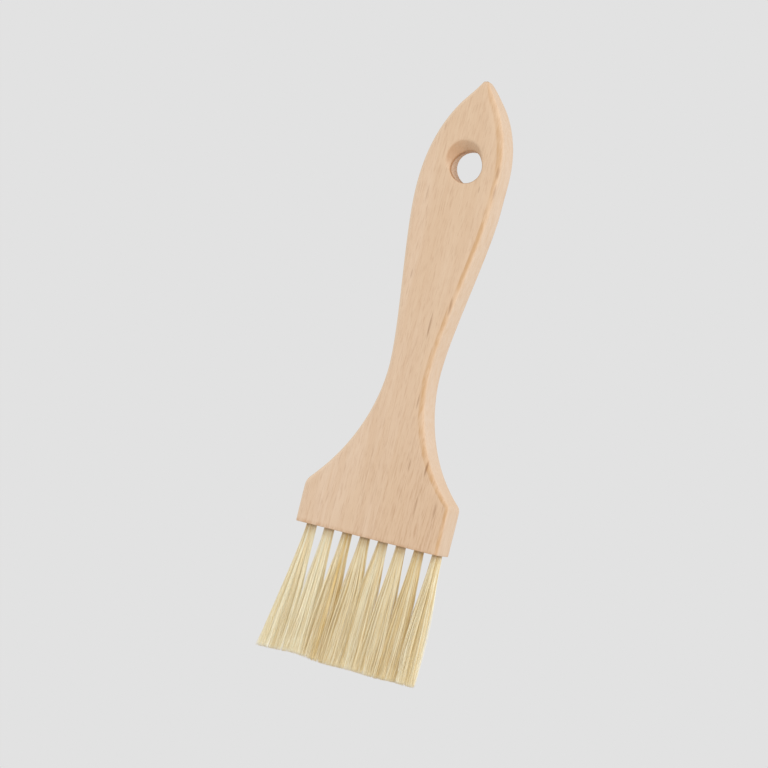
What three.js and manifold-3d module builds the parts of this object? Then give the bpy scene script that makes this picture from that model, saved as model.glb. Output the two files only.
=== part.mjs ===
// Flat pastry brush: a one-piece beech handle whose sawn end holds a single row of natural bristle tufts.
// Each tuft is folded in half over a flat metal anchor at the bottom of its own blind hole.
// Millimetres. X runs across the head, Y runs along the handle to its tip, and Z comes out of the front.
// The origin is on the flat back face, on the head's centre line, HEAD_REFERENCE above the sawn end.

import * as THREE from 'three';
import { mergeVertices } from 'three/addons/utils/BufferGeometryUtils.js';
import Module from 'manifold-3d';

// Handle board. Inside the brush group, Y is measured from the sawn end of the head.
const THICKNESS = 11;
const EDGE_ROUND = 1.2;
const HEAD_REFERENCE = 10;
const HEAD_HALF_WIDTH = 25;
const NECK_Y = 55.3;
const GRIP_Y = 112.3;
const SAW_ALLOWANCE = 3;
const SAW_ANGLE = THREE.MathUtils.degToRad(0.85);

// The two sides of the outline differ a little. Widths are measured from the head's centre line.
// A pull is how far a curve keeps its end direction before it bends away.
const RIGHT_SIDE = {
  sign: 1,
  shoulderY: 15.9,
  cornerCut: 1.2,
  flareStartY: 17.5,
  flareStart: 23.3,
  flarePull: [11.7, 28.3],
  neck: 7.6,
  neckPullDown: 11.5,
  neckPullUp: 15,
  grip: 14.2,
  gripPullDown: 15.5,
  gripPullUp: 10.1,
  tipAngle: THREE.MathUtils.degToRad(38),
  tipPull: 21.6,
};
const LEFT_SIDE = {
  sign: -1,
  shoulderY: 13.15,
  cornerCut: 1.8,
  flareStartY: 15.65,
  flareStart: 22.8,
  flarePull: [7.6, 32.7],
  neck: 6.7,
  neckPullDown: 5,
  neckPullUp: 14.5,
  grip: 12.65,
  gripPullDown: 15.5,
  gripPullUp: 24.6,
  tipAngle: THREE.MathUtils.degToRad(21),
  tipPull: 3.6,
};

// Pointed tip: a small arc that both sides run into. The tip is also rounded over from front to back,
// briefly at the front and with a long sweep at the back.
const TIP_CENTRE = [2.17, 148.6];
const TIP_ROUND = 1.3;
const NOSE_FRONT = 2.35;
const NOSE_BACK_LENGTH = 13.9;

// Hanging hole with a countersink on each face. Both countersinks are drilled off the hole's centre.
const HANGING_HOLE = { x: 2.54, y: 121.95, radius: 5.4 };
const FRONT_SINK = { dx: -0.95, dy: 2.6, radius: 5.95, depth: 3.5 };
const BACK_SINK = { dx: -1.2, dy: 0.55, radius: 8.3, depth: 3.5 };

// Tufts, their blind holes and their anchors.
const TUFT_COUNT = 8;
const TUFT_PITCH = 6.31;
const TUFT_ROW_X = 0.55;
const TUFT_ROW_Z = 4.5;
const HOLE_RADIUS = 1.75;
const HOLE_DEPTH = 9;
const TUFT_RADIUS = 1.45;
const BRISTLE_LENGTH = 42;
const TIP_PITCH = 6.48;
const TIP_ROW_X = -0.95;
const TIP_CLEARANCE = 0.34;
const TIP_DEPTH_RADIUS = 2.9;
const SPREAD_LENGTH = 20;
const ANCHOR = { length: 4.8, width: 1.6, thickness: 0.4, y: 7 };
const FIT_GAP = 0.3;

// Cross-sections of a tuft, from the fold in the hole to the trimmed end. Y is above the sawn end,
// and share is the part of the full section left where the fold and the trimmed edge are rounded.
const TUFT_STATIONS = [
  { y: HOLE_DEPTH - FIT_GAP, share: 0.6 },
  { y: HOLE_DEPTH - 0.6, share: 0.9 },
  { y: HOLE_DEPTH - 1.1, share: 1 },
  { y: 0, share: 1 },
  { y: -5, share: 1 },
  { y: -10, share: 1 },
  { y: -15, share: 1 },
  { y: -SPREAD_LENGTH, share: 1 },
  { y: 0.6 - BRISTLE_LENGTH, share: 1 },
  { y: -BRISTLE_LENGTH, share: 0.9 },
];

const CURVE_STEPS = 14;
const ROUND_STEPS = 40;
const TUFT_SIDES = 20;
const CUT_MARGIN = 1;
const MERGE_DISTANCE = 1e-4;

const beech = new THREE.MeshStandardMaterial({ color: 0xdcbe9e, roughness: 0.62, metalness: 0 });
const bristle = new THREE.MeshStandardMaterial({ color: 0xd6c294, roughness: 0.55, metalness: 0 });
const anchorMetal = new THREE.MeshStandardMaterial({ color: 0xb9babd, roughness: 0.35, metalness: 1 });

const manifoldLibrary = await Module();
manifoldLibrary.setup();

// Turns a closed geometry into a solid that can be cut.
function solidFrom(geometry) {
  const bare = geometry.clone();
  bare.deleteAttribute('normal');
  bare.deleteAttribute('uv');
  const merged = mergeVertices(bare, MERGE_DISTANCE);
  const mesh = new manifoldLibrary.Mesh({
    numProp: 3,
    vertProperties: new Float32Array(merged.attributes.position.array),
    triVerts: new Uint32Array(merged.index.array),
  });
  return new manifoldLibrary.Manifold(mesh);
}

function geometryFrom(solid) {
  const mesh = solid.getMesh();
  const geometry = new THREE.BufferGeometry();
  geometry.setAttribute('position', new THREE.BufferAttribute(mesh.vertProperties, 3));
  geometry.setIndex(new THREE.BufferAttribute(mesh.triVerts, 1));
  geometry.computeVertexNormals();
  return geometry;
}

// One side of the outline, from below the sawn end up to the tip.
function sidePoints(side) {
  const x = (width) => side.sign * width;
  const path = new THREE.Path();
  const run = (side.flareStartY - side.shoulderY) / (HEAD_HALF_WIDTH - side.flareStart);
  const cutWidth = HEAD_HALF_WIDTH - side.cornerCut / Math.hypot(1, run);
  const cutY = side.shoulderY + (run * side.cornerCut) / Math.hypot(1, run);
  path.moveTo(x(HEAD_HALF_WIDTH), -SAW_ALLOWANCE);
  path.lineTo(x(HEAD_HALF_WIDTH), side.shoulderY - side.cornerCut);
  path.quadraticCurveTo(x(HEAD_HALF_WIDTH), side.shoulderY, x(cutWidth), cutY);
  path.lineTo(x(side.flareStart), side.flareStartY);
  path.bezierCurveTo(
    x(side.flarePull[0]), side.flarePull[1],
    x(side.neck), NECK_Y - side.neckPullDown,
    x(side.neck), NECK_Y,
  );
  path.bezierCurveTo(
    x(side.neck), NECK_Y + side.neckPullUp,
    x(side.grip), GRIP_Y - side.gripPullDown,
    x(side.grip), GRIP_Y,
  );
  const outward = Math.cos(side.tipAngle);
  const upward = Math.sin(side.tipAngle);
  const endX = TIP_CENTRE[0] + side.sign * TIP_ROUND * outward;
  const endY = TIP_CENTRE[1] + TIP_ROUND * upward;
  path.bezierCurveTo(
    x(side.grip), GRIP_Y + side.gripPullUp,
    endX + side.sign * side.tipPull * upward, endY - side.tipPull * outward,
    endX, endY,
  );
  return path.getPoints(CURVE_STEPS);
}

function tipPoints() {
  const arc = new THREE.Path();
  const endAngle = Math.PI - LEFT_SIDE.tipAngle;
  arc.absarc(TIP_CENTRE[0], TIP_CENTRE[1], TIP_ROUND, RIGHT_SIDE.tipAngle, endAngle, false);
  return arc.getPoints(CURVE_STEPS).slice(1, -1);
}

// The space that the rounded-over tip leaves for the board, seen from the side: along Y and up Z.
function noseSolid() {
  const tipY = TIP_CENTRE[1] + TIP_ROUND;
  const ridgeZ = THICKNESS - NOSE_FRONT;
  const low = -2 * SAW_ALLOWANCE;
  const profile = new THREE.Shape();
  profile.moveTo(low, -CUT_MARGIN);
  profile.lineTo(tipY - NOSE_BACK_LENGTH, -CUT_MARGIN);
  profile.lineTo(tipY - NOSE_BACK_LENGTH, 0);
  profile.absellipse(tipY - NOSE_BACK_LENGTH, ridgeZ, NOSE_BACK_LENGTH, ridgeZ, -Math.PI / 2, 0, false);
  profile.absarc(tipY - NOSE_FRONT, ridgeZ, NOSE_FRONT, 0, Math.PI / 2, false);
  profile.lineTo(tipY - NOSE_FRONT, THICKNESS + CUT_MARGIN);
  profile.lineTo(low, THICKNESS + CUT_MARGIN);
  const width = 4 * HEAD_HALF_WIDTH;
  const nose = new THREE.ExtrudeGeometry(profile, {
    depth: width,
    bevelEnabled: false,
    curveSegments: CURVE_STEPS,
  });
  nose.translate(0, 0, -width / 2);
  const alongY = new THREE.Vector3(0, 1, 0);
  const upZ = new THREE.Vector3(0, 0, 1);
  const acrossX = new THREE.Vector3(1, 0, 0);
  nose.applyMatrix4(new THREE.Matrix4().makeBasis(alongY, upZ, acrossX));
  return solidFrom(nose);
}

// The board: the outline extruded with rounded edges, rounded over at the tip, and sawn off at the head
// a little out of square.
function boardSolid() {
  const outline = [...sidePoints(RIGHT_SIDE), ...tipPoints(), ...sidePoints(LEFT_SIDE).reverse()];
  const board = new THREE.ExtrudeGeometry(new THREE.Shape(outline), {
    depth: THICKNESS - 2 * EDGE_ROUND,
    bevelEnabled: true,
    bevelThickness: EDGE_ROUND,
    bevelSize: EDGE_ROUND,
    bevelOffset: -EDGE_ROUND,
    bevelSegments: 3,
  });
  board.translate(0, 0, EDGE_ROUND);
  const waste = new THREE.BoxGeometry(4 * HEAD_HALF_WIDTH, 2 * SAW_ALLOWANCE, 4 * THICKNESS);
  waste.translate(0, -SAW_ALLOWANCE, 0);
  waste.rotateZ(SAW_ANGLE);
  return solidFrom(board).intersect(noseSolid()).subtract(solidFrom(waste));
}

// A countersink whose cone falls one millimetre inwards for each millimetre of depth.
function sinkCutter(sink, faceZ, outward) {
  const height = sink.depth + CUT_MARGIN;
  const mouth = sink.radius + CUT_MARGIN;
  const cone = new THREE.CylinderGeometry(mouth, sink.radius - sink.depth, height, ROUND_STEPS);
  cone.rotateX((outward * Math.PI) / 2);
  cone.translate(
    HANGING_HOLE.x + sink.dx,
    HANGING_HOLE.y + sink.dy,
    faceZ + (outward * (CUT_MARGIN - sink.depth)) / 2,
  );
  return solidFrom(cone);
}

function hangingHoleCutter() {
  const drill = new THREE.CylinderGeometry(
    HANGING_HOLE.radius, HANGING_HOLE.radius, THICKNESS + 2 * CUT_MARGIN, ROUND_STEPS,
  );
  drill.rotateX(Math.PI / 2);
  drill.translate(HANGING_HOLE.x, HANGING_HOLE.y, THICKNESS / 2);
  return solidFrom(drill)
    .add(sinkCutter(FRONT_SINK, THICKNESS, 1))
    .add(sinkCutter(BACK_SINK, 0, -1));
}

const rootX = (index) => TUFT_ROW_X + (index - (TUFT_COUNT - 1) / 2) * TUFT_PITCH;
const tipX = (index) => TIP_ROW_X + (index - (TUFT_COUNT - 1) / 2) * TIP_PITCH;

// The blind hole of one tuft, with the slot its anchor bites into.
function tuftHoleCutter(index) {
  const drill = new THREE.CylinderGeometry(HOLE_RADIUS, HOLE_RADIUS, HOLE_DEPTH + CUT_MARGIN, TUFT_SIDES);
  drill.translate(rootX(index), (HOLE_DEPTH - CUT_MARGIN) / 2, TUFT_ROW_Z);
  return solidFrom(drill).add(solidFrom(anchorBlock(index, FIT_GAP)));
}

// The flat anchor wire stands across the hole, through the thickness of the board.
function anchorBlock(index, allowance) {
  const block = new THREE.BoxGeometry(
    ANCHOR.thickness + 2 * allowance, ANCHOR.width + 2 * allowance, ANCHOR.length + 2 * allowance,
  );
  block.translate(rootX(index), ANCHOR.y, TUFT_ROW_Z);
  return block;
}

function handleGeometry() {
  let handle = boardSolid().subtract(hangingHoleCutter());
  for (let index = 0; index < TUFT_COUNT; index += 1) {
    handle = handle.subtract(tuftHoleCutter(index));
  }
  return geometryFrom(handle);
}

// Half width, half depth and centre of a tuft at a height, from its folded root to its trimmed end.
function tuftSection(index, y) {
  const along = THREE.MathUtils.clamp(-y / BRISTLE_LENGTH, 0, 1);
  const spread = THREE.MathUtils.smoothstep(-y, 0, SPREAD_LENGTH);
  const fullWidth = (TIP_PITCH - TIP_CLEARANCE) / 2 - (1 - along) * (TIP_PITCH - TUFT_PITCH) / 2;
  return {
    x: THREE.MathUtils.lerp(rootX(index), tipX(index), along),
    halfWidth: THREE.MathUtils.lerp(TUFT_RADIUS, fullWidth, spread),
    halfDepth: THREE.MathUtils.lerp(TUFT_RADIUS, TIP_DEPTH_RADIUS, along),
  };
}

// A closed skin through rings of equal size, with a point at the middle of each end.
function loftGeometry(rings) {
  const sides = rings[0].length;
  const positions = rings.flat().flatMap((point) => [point.x, point.y, point.z]);
  const triangles = [];
  for (let ring = 0; ring < rings.length - 1; ring += 1) {
    for (let side = 0; side < sides; side += 1) {
      const next = (side + 1) % sides;
      const a = ring * sides + side;
      const b = ring * sides + next;
      triangles.push(a, b, b + sides, a, b + sides, a + sides);
    }
  }
  for (const [ring, flip] of [[0, true], [rings.length - 1, false]]) {
    const centre = new THREE.Vector3();
    rings[ring].forEach((point) => centre.addScaledVector(point, 1 / sides));
    const hub = positions.length / 3;
    positions.push(centre.x, centre.y, centre.z);
    for (let side = 0; side < sides; side += 1) {
      const a = ring * sides + side;
      const b = ring * sides + ((side + 1) % sides);
      triangles.push(hub, flip ? b : a, flip ? a : b);
    }
  }
  const geometry = new THREE.BufferGeometry();
  geometry.setAttribute('position', new THREE.Float32BufferAttribute(positions, 3));
  geometry.setIndex(triangles);
  return geometry;
}

function tuftRing(index, y, share) {
  const section = tuftSection(index, y);
  const ring = [];
  for (let side = 0; side < TUFT_SIDES; side += 1) {
    const angle = (side / TUFT_SIDES) * 2 * Math.PI;
    ring.push(new THREE.Vector3(
      section.x + share * section.halfWidth * Math.cos(angle),
      y,
      TUFT_ROW_Z + share * section.halfDepth * Math.sin(angle),
    ));
  }
  return ring;
}

// One tuft: a round folded root in the hole, a flare below the wood, and an evenly trimmed end.
function tuftGeometry(index) {
  const rings = TUFT_STATIONS.map((station) => tuftRing(index, station.y, station.share));
  const passage = solidFrom(anchorBlock(index, FIT_GAP));
  return geometryFrom(solidFrom(loftGeometry(rings)).subtract(passage));
}

function namedMesh(name, geometry, material) {
  const mesh = new THREE.Mesh(geometry, material);
  mesh.name = name;
  return mesh;
}

const brush = new THREE.Group();
brush.position.y = -HEAD_REFERENCE;
brush.add(namedMesh('handle', handleGeometry(), beech));
for (let index = 0; index < TUFT_COUNT; index += 1) {
  brush.add(namedMesh(`tuft_${index + 1}`, tuftGeometry(index), bristle));
  brush.add(namedMesh(`anchor_${index + 1}`, anchorBlock(index, 0), anchorMetal));
}

const group = new THREE.Group();
group.add(brush);

export default group;
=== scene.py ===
"""A flat pastry brush: beech handle, folded natural bristle tufts and their anchors, over a pale floor."""
import math
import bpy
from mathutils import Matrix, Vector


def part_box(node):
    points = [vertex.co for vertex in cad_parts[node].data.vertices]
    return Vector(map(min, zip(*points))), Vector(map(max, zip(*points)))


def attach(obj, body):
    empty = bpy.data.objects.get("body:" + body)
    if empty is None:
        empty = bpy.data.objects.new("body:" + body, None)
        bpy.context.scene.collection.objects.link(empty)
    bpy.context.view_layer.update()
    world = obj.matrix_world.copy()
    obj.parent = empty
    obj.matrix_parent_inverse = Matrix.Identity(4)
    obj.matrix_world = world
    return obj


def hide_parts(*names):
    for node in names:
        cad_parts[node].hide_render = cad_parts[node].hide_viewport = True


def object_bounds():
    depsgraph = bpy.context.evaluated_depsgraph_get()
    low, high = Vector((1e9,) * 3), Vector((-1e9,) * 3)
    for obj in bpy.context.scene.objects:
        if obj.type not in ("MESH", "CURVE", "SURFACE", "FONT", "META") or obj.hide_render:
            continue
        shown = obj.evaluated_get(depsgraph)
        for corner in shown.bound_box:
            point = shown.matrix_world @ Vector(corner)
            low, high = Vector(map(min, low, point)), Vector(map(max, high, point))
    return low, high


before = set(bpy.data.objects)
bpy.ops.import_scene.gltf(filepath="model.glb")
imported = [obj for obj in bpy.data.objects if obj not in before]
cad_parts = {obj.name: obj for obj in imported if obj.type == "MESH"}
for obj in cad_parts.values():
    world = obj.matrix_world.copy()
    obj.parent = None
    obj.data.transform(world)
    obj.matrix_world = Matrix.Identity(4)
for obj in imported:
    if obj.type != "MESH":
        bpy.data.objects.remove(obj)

from types import SimpleNamespace

import bmesh
import bpy
import numpy as np
from mathutils import Matrix, Vector
from mathutils.geometry import delaunay_2d_cdt

CAD_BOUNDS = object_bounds()
MM = 0.001
GOLDEN_TURN = math.pi * (3 - math.sqrt(5))


# ---------------------------------------------------------------- places, in millimetres, from the frame
def box_mm(node):
    low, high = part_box(node)
    return np.array(low) / MM, np.array(high) / MM


BOARD_LOW, BOARD_HIGH = box_mm("handle")
THICKNESS = BOARD_HIGH[2]
TIP_Y = BOARD_HIGH[1]
# The head is sawn off a little out of square: END_Y is where the cut crosses the head's centre line.
SAW_SLOPE = math.tan(math.radians(0.85))
END_Y = BOARD_LOW[1] + BOARD_HIGH[0] * SAW_SLOPE
TUFT_COUNT = sum(name.startswith("tuft_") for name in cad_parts)
ANCHOR_BOXES = [box_mm(f"anchor_{i + 1}") for i in range(TUFT_COUNT)]
ROOTS = [(low + high) / 2 for low, high in ANCHOR_BOXES]
TIP_ROW_LEFT = box_mm("tuft_1")[0][0]
TIP_ROW_RIGHT = box_mm(f"tuft_{TUFT_COUNT}")[1][0]
BRISTLE_LENGTH = END_Y - box_mm("tuft_1")[0][1]

# The board's sanded edges come down EDGE_ROUND at the wall. On the left side they reach EDGE_INSET into the
# face, and on the right side SANDED_REACH, at the places SANDED_AT along the brush.
EDGE_ROUND = 1.2
EDGE_INSET = 1.55
SANDED_AT = (-10, 5, 20, 40, 60, 105, 124, 134, 150)
SANDED_REACH = (1.35, 1.5, 2.1, 2.1, 1.7, 1.8, 2.6, 2.4, 1.6)
# How far an edge's rounding may use up the radius of a sharp turn, and how many points it eases over.
TURN_SHARE = 0.55
TURN_EASING = 4
# Tint of the rounding, at degrees from the face (0) to the wall (90): browning on the right side, and
# painted light on the left side.
RIGHT_TINT = ((0, 12, 34, 58, 90), (0.3, 0.92, 0.98, 0.5, 0.08))
LEFT_PAINTED_LIGHT = ((0, 15, 36, 60, 90), (0.0, 0.15, 0.75, 1.0, 0.6))

# The tip is rounded over, briefly at the front and with a long sweep at the back, and pinched a little.
NOSE_FRONT = 2.35
NOSE_BACK_LENGTH = 13.9
TIP_X = 2.17
TIP_PINCH = 0.12
TIP_PINCH_LENGTH = 8.0

# The board's mesh, and its small unevenness.
EDGE_STEPS = 8
WALL_STEPS = 4
OUTLINE_STEP = 0.8
FACE_GRID = 1.6
END_GRID = 1.1
END_GRID_MARGIN = 1.0
EDGE_CLEARANCE = 0.55
HOLE_CLEARANCE = 0.4
GRID_ROW_SHARE = 0.87
SAW_FADE = 10
END_SOFTENING = 0.28
SHARP_ANGLE = 1.2
# Points closer than this count as one, in the units of the call that it is for.
SAME_PLACE = 1e-7
# How closely the CAD's points lie in place, and the margin at a hole's rim, in millimetres.
TOLERANCE = 1e-3
SURFACE_WAVE = 0.035
SURFACE_SEED = 3
WAVE_ACROSS = 14
WAVE_ALONG = 38

# Hanging hole and its two off-centre countersinks, which fall at 45 degrees below a worn, rounded rim.
# Each countersink is its offset from the hole's centre, and the radius its cone has in the face.
HOLE_CENTRE = np.array([2.54, 111.95])
HOLE_RADIUS = 5.4
FRONT_SINK = (np.array([-1.3, 2.4]), 5.95)
BACK_SINK = (np.array([-1.2, 0.55]), 8.3)
RIM_SOFTENING = 0.45
SINK_SOFTENING = 1.5
SINK_JOIN = 0.25
HOLE_SIDES = 120
HOLE_RIM_RINGS = 5
HOLE_WALL_RINGS = 44

# Brown tint of the hole's wall, 0 to 1: painted shade in the countersink and in a band below it, and in the
# deep bore the drilled wood's own brown with painted shade. The band begins between the two BAND_TOP depths
# from the countersink's foot, and the tint fades at both rims.
SINK_SHADE = 0.05
SINK_SHADE_LEFT = 0.62
SINK_SHADE_FULL = 0.8
BAND_SHADE = 0.85
BAND_SHADE_LEFT = 0.15
BAND_TOP = (-0.3, 0.15)
BAND_DEPTH = 2.4
BAND_DEPTH_LEFT = 0.9
BAND_FADE = 0.8
BORE_STAIN_AND_SHADE = 0.25
DEEP_STAIN_AND_SHADE = 0.4
DEEP_PLACE = 9.0
HOLE_TINT_FADE_FRONT = 0.3
HOLE_TINT_FADE_BACK = 0.6

# Blind holes for the tufts, each with the shallow point that a drill leaves.
TUFT_HOLE_RADIUS = 1.75
TUFT_HOLE_DEPTH = 9.0
TUFT_HOLE_POINT = 0.4
TUFT_RIM_SOFTENING = 0.12
TUFT_HOLE_SIDES = 28
TUFT_HOLE_RINGS = (2.0, 5.0, TUFT_HOLE_DEPTH)
# Painted shade of the tufts' holes: this much at the rim, and darker with depth.
TUFT_RIM_SHADE = 0.3

# Bristles. The gap lengths are how far below the wood each pair of neighbouring tufts closes up.
HAIRS_PER_TUFT = 180
LOCKS_PER_TUFT = 34
FIRST_TUFT_SEED = 100
HAIR_RADIUS = 0.08
HAIR_RADIUS_FACTORS = (0.8, 1.15)
HAIR_TAPER = 0.3
CUT_TAPER = 0.6
HAIR_SIDES = 4
ROOT_SPREAD = 1.62
ROOT_FILL = 0.97
TIP_HALF_DEPTH = 2.8
TUFT_PALENESS = (0.34, 0.28, -0.06, 0.0, 0.06, 0.04, -0.05, 0.1)
GAP_LENGTHS = (34.5, 30.5, 29.0, 18.0, 34.5, 31.0, 31.0)
LEFT_FLARE = 3.1
RIGHT_FLARE = -0.15
# How each edge of a tuft curves on its way out, as a power of the share of the way: 1 is straight.
GAP_CURVE = 1.2
LEFT_CURVE = 1.25
RIGHT_CURVE = 0.8
DEPTH_CURVE = 0.8
LEAN_CURVE = 1.6
# The trimmed end lies a little past the tufts' solids, with a slight slope, dip and wave across the brush.
TRIM_EXTRA = 0.5
TRIM_SLOPE = 0.1
TRIM_DIP = 0.75
TRIM_DIP_PLACE = 0.16
TRIM_WAVE = 0.12
TRIM_WAVE_TURNS = 19

# How the hairs gather in locks and stray from them. Spreads are in millimetres across and deep, and
# scatters are shares of the tuft's half width and half depth.
LOCK_FIRST_ANGLE = 0.6
LOCK_SCATTER = 0.04
ROOT_SCATTER = 0.02
FAR_ROOT_SCATTER = (0.03, 0.05)
STRAY_LOCK_SHARE = 0.14
STRAY_LOCK_FACTOR = 1.7
DARK_LOCK_SHARE = 0.14
DARK_LOCK_TONE = 0.25
LOCK_TONES = (0.4, 0.74)
HAIR_TONE_SPREAD = 0.16
HAIR_TONE_LIMITS = (0.12, 1.1)
LOCK_LEAN = (0.32, 0.3)
LOCK_SWAY = 0.42
HAIR_LEAN = 0.26
HAIR_SWAY = 0.3
STRAY_SHARE = 0.05
STRAY_LEAN = (1.0, 0.4)
SHORT_SHARE = 0.03
SHORT_BY = (0.3, 2.0)
TRIM_SPREAD = 0.13
TIP_SQUARENESS = 0.75
TIP_GATHER = 0.25
TIP_SPREAD = 1.08
TIP_LIMITS = (1.12, 1.1)
TIP_SCATTER = (0.05, 0.08)
FLARE_LENGTH = 16.0
# Where a hair's points lie on its way out, as shares of its length.
HAIR_STATIONS = np.concatenate([[0, 0.04, 0.1], np.linspace(0.18, 0.97, 8), [1.0]])

# The fold of each hair over its anchor, inside the hole, and the space that it leaves at the hole's bottom.
ANCHOR_CLEARANCE = 0.12
FOLD_GAP = 0.1
FOLD_WIDENING = 0.75
FOLD_DEPTH_SHARE = 0.9
FOLD_BOTTOM_SPACE = 0.2
FOLD_REACH = 1.55
FOLD_LEG = 1.6
FOLD_STEPS = 6


# ---------------------------------------------------------------- mesh helpers
def store_values(mesh, columns):
    """Stores named values on the points of a mesh."""
    for name, column in columns.items():
        layer = mesh.attributes.new(name, "FLOAT", "POINT")
        layer.data.foreach_set("value", np.asarray(column, dtype=np.float32))


class MeshBuilder:
    """Collects points and faces in millimetres, with named values for each point."""

    def __init__(self, *value_names):
        self.points = []
        self.faces = []
        self.values = {name: [] for name in value_names}

    def add(self, point, **values):
        self.points.append(point)
        for name, column in self.values.items():
            column.append(values.get(name, 0.0))
        return len(self.points) - 1

    def strip(self, row_a, row_b, closed=False):
        """Joins two rows of point numbers with quads."""
        count = len(row_a)
        for i in range(count if closed else count - 1):
            j = (i + 1) % count
            self.faces.append((row_a[i], row_a[j], row_b[j], row_b[i]))

    def make(self, name):
        mesh = bpy.data.meshes.new(name)
        mesh.from_pydata([tuple(np.array(p) * MM) for p in self.points], [], self.faces)
        store_values(mesh, self.values)
        mesh.validate()
        return mesh


def add_piece(name, mesh, material, node):
    """Adds a mesh as a piece of the brush that stands for a CAD node."""
    obj = bpy.data.objects.new(name, mesh)
    bpy.context.scene.collection.objects.link(obj)
    obj.data.materials.append(material)
    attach(obj, "root")
    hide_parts(node)


def smooth_maximum(a, b, blend):
    """The larger of two values, with the corner between them rounded over the blend distance."""
    mix = np.clip(0.5 + 0.5 * (a - b) / blend, 0.0, 1.0)
    return b * (1 - mix) + a * mix + blend * mix * (1 - mix)


def wave(x, y, scale_x, scale_y, seed):
    """A smooth, repeatable unevenness between about -1 and 1: five waves, each finer and weaker."""
    phases = np.random.default_rng(seed).uniform(0, 2 * math.pi, (5, 2))
    total = 0.0
    for k, (phase, turn) in enumerate(phases):
        across = x / scale_x * (1 + 0.37 * k) * math.cos(turn) * 2
        along = y / scale_y * (1 + 0.29 * k) * 2
        total = total + np.sin(across + along + phase) / (1 + 0.5 * k)
    return total / 2.6


# ---------------------------------------------------------------- handle
def cad_outline():
    """The board's outline as the CAD has it: from the right end corner over the tip to the left one."""
    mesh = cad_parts["handle"].data
    places = np.array([v.co for v in mesh.vertices]) / MM
    side_heights = places[places[:, 0] > BOARD_HIGH[0] - TOLERANCE][:, 2]
    level = side_heights.max()
    neighbours = {}
    for edge in mesh.edges:
        a, b = (places[i] for i in edge.vertices)
        on_level = all(abs(p[2] - level) < TOLERANCE for p in (a, b))
        on_end = all(abs(p[1] - END_Y - p[0] * SAW_SLOPE) < 10 * TOLERANCE for p in (a, b))
        if on_level and not on_end:
            key_a, key_b = (tuple(np.round(p[:2], 3)) for p in (a, b))
            if key_a != key_b:
                neighbours.setdefault(key_a, set()).add(key_b)
                neighbours.setdefault(key_b, set()).add(key_a)
    start = min(neighbours, key=lambda k: math.hypot(k[0] - BOARD_HIGH[0], k[1] - END_Y))
    path = [start]
    while True:
        onward = [k for k in neighbours[path[-1]] if k not in path[-2:]]
        if not onward or (len(path) > 2 and onward[0] == start):
            break
        path.append(onward[0])
    outline = np.array(path)
    outline[[0, -1], 1] = END_Y
    return outline


def refined_outline(points):
    """The outline as a smooth curve through the CAD's points, with its outward normals."""
    steps = np.linalg.norm(np.diff(points, axis=0), axis=1)
    chords = np.diff(points, axis=0) / steps[:, None]
    tangents = np.empty_like(points)
    tangents[0], tangents[-1] = chords[0], chords[-1]
    weights = (steps[:-1] + steps[1:])[:, None]
    tangents[1:-1] = (chords[:-1] * steps[1:, None] + chords[1:] * steps[:-1, None]) / weights
    tangents /= np.linalg.norm(tangents, axis=1)[:, None]
    fine = []
    for i, length in enumerate(steps):
        pieces = max(1, round(length / OUTLINE_STEP))
        for t in np.arange(pieces) / pieces:
            ease = 3 * t**2 - 2 * t**3
            blend = np.array([1 - ease, t**3 - 2 * t**2 + t, ease, t**3 - t**2])
            knots = np.array([points[i], tangents[i] * length, points[i + 1], tangents[i + 1] * length])
            fine.append(blend @ knots)
    fine.append(points[-1])
    fine = np.array(fine)
    direction = np.gradient(fine, axis=0)
    direction[0] = (0, 1)
    direction[-1] = (0, -1)
    direction /= np.linalg.norm(direction, axis=1)[:, None]
    normals = np.stack([direction[:, 1], -direction[:, 0]], axis=1)
    return fine, normals


def arc_drop(radius, depth):
    """How far a quarter circle has come in at a depth below the face that it starts from."""
    return math.sqrt(radius**2 - (radius - min(depth, radius)) ** 2)


def hanging_hole_radius(angle, z):
    """Distance from the hole's centre to its wall: a drilled hole joined with two countersinks."""
    ray = np.array([math.cos(angle), math.sin(angle)])
    radius = HOLE_RADIUS + RIM_SOFTENING - arc_drop(RIM_SOFTENING, min(THICKNESS - z, z))
    for (offset, rim), depth in ((FRONT_SINK, THICKNESS - z), (BACK_SINK, z)):
        cone = rim - depth
        if depth < SINK_SOFTENING * (1 - math.sqrt(0.5)):
            cone = rim + SINK_SOFTENING * (math.sqrt(2) - 1) - arc_drop(SINK_SOFTENING, depth)
        along = offset @ ray
        inside = cone**2 - offset @ offset + along**2
        if cone > 0 and inside > 0:
            radius = smooth_maximum(along + math.sqrt(inside), radius, SINK_JOIN)
    return radius


def hanging_hole_stain_and_shade(angle, z):
    """How brown the hole's wall is, as painted shade: most where the drill came in below the front
    countersink, and deeper in also the drilled wood's own brown.
    """
    offset, rim = FRONT_SINK
    along = offset @ np.array([math.cos(angle), math.sin(angle)])
    sink_depth = max(0.0, rim - math.sqrt(HOLE_RADIUS**2 - 2 * HOLE_RADIUS * along + offset @ offset))
    to_left = max(0.0, -math.cos(angle))
    upper = np.clip(0.5 + 2 * math.sin(angle), 0.0, 1.0)
    in_sink = SINK_SHADE + SINK_SHADE_LEFT * min(1.0, to_left / SINK_SHADE_FULL) * upper
    in_band = BAND_SHADE + BAND_SHADE_LEFT * to_left
    band = BAND_DEPTH + (BAND_DEPTH_LEFT - BAND_DEPTH) * to_left
    below = THICKNESS - z - sink_depth
    places = (*BAND_TOP, band, band + BAND_FADE, DEEP_PLACE)
    stain_and_shade = np.interp(below, places, (in_sink, in_band, in_band, BORE_STAIN_AND_SHADE, DEEP_STAIN_AND_SHADE))
    return float(stain_and_shade * min(1.0, (THICKNESS - z) / HOLE_TINT_FADE_FRONT, z / HOLE_TINT_FADE_BACK))


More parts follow.
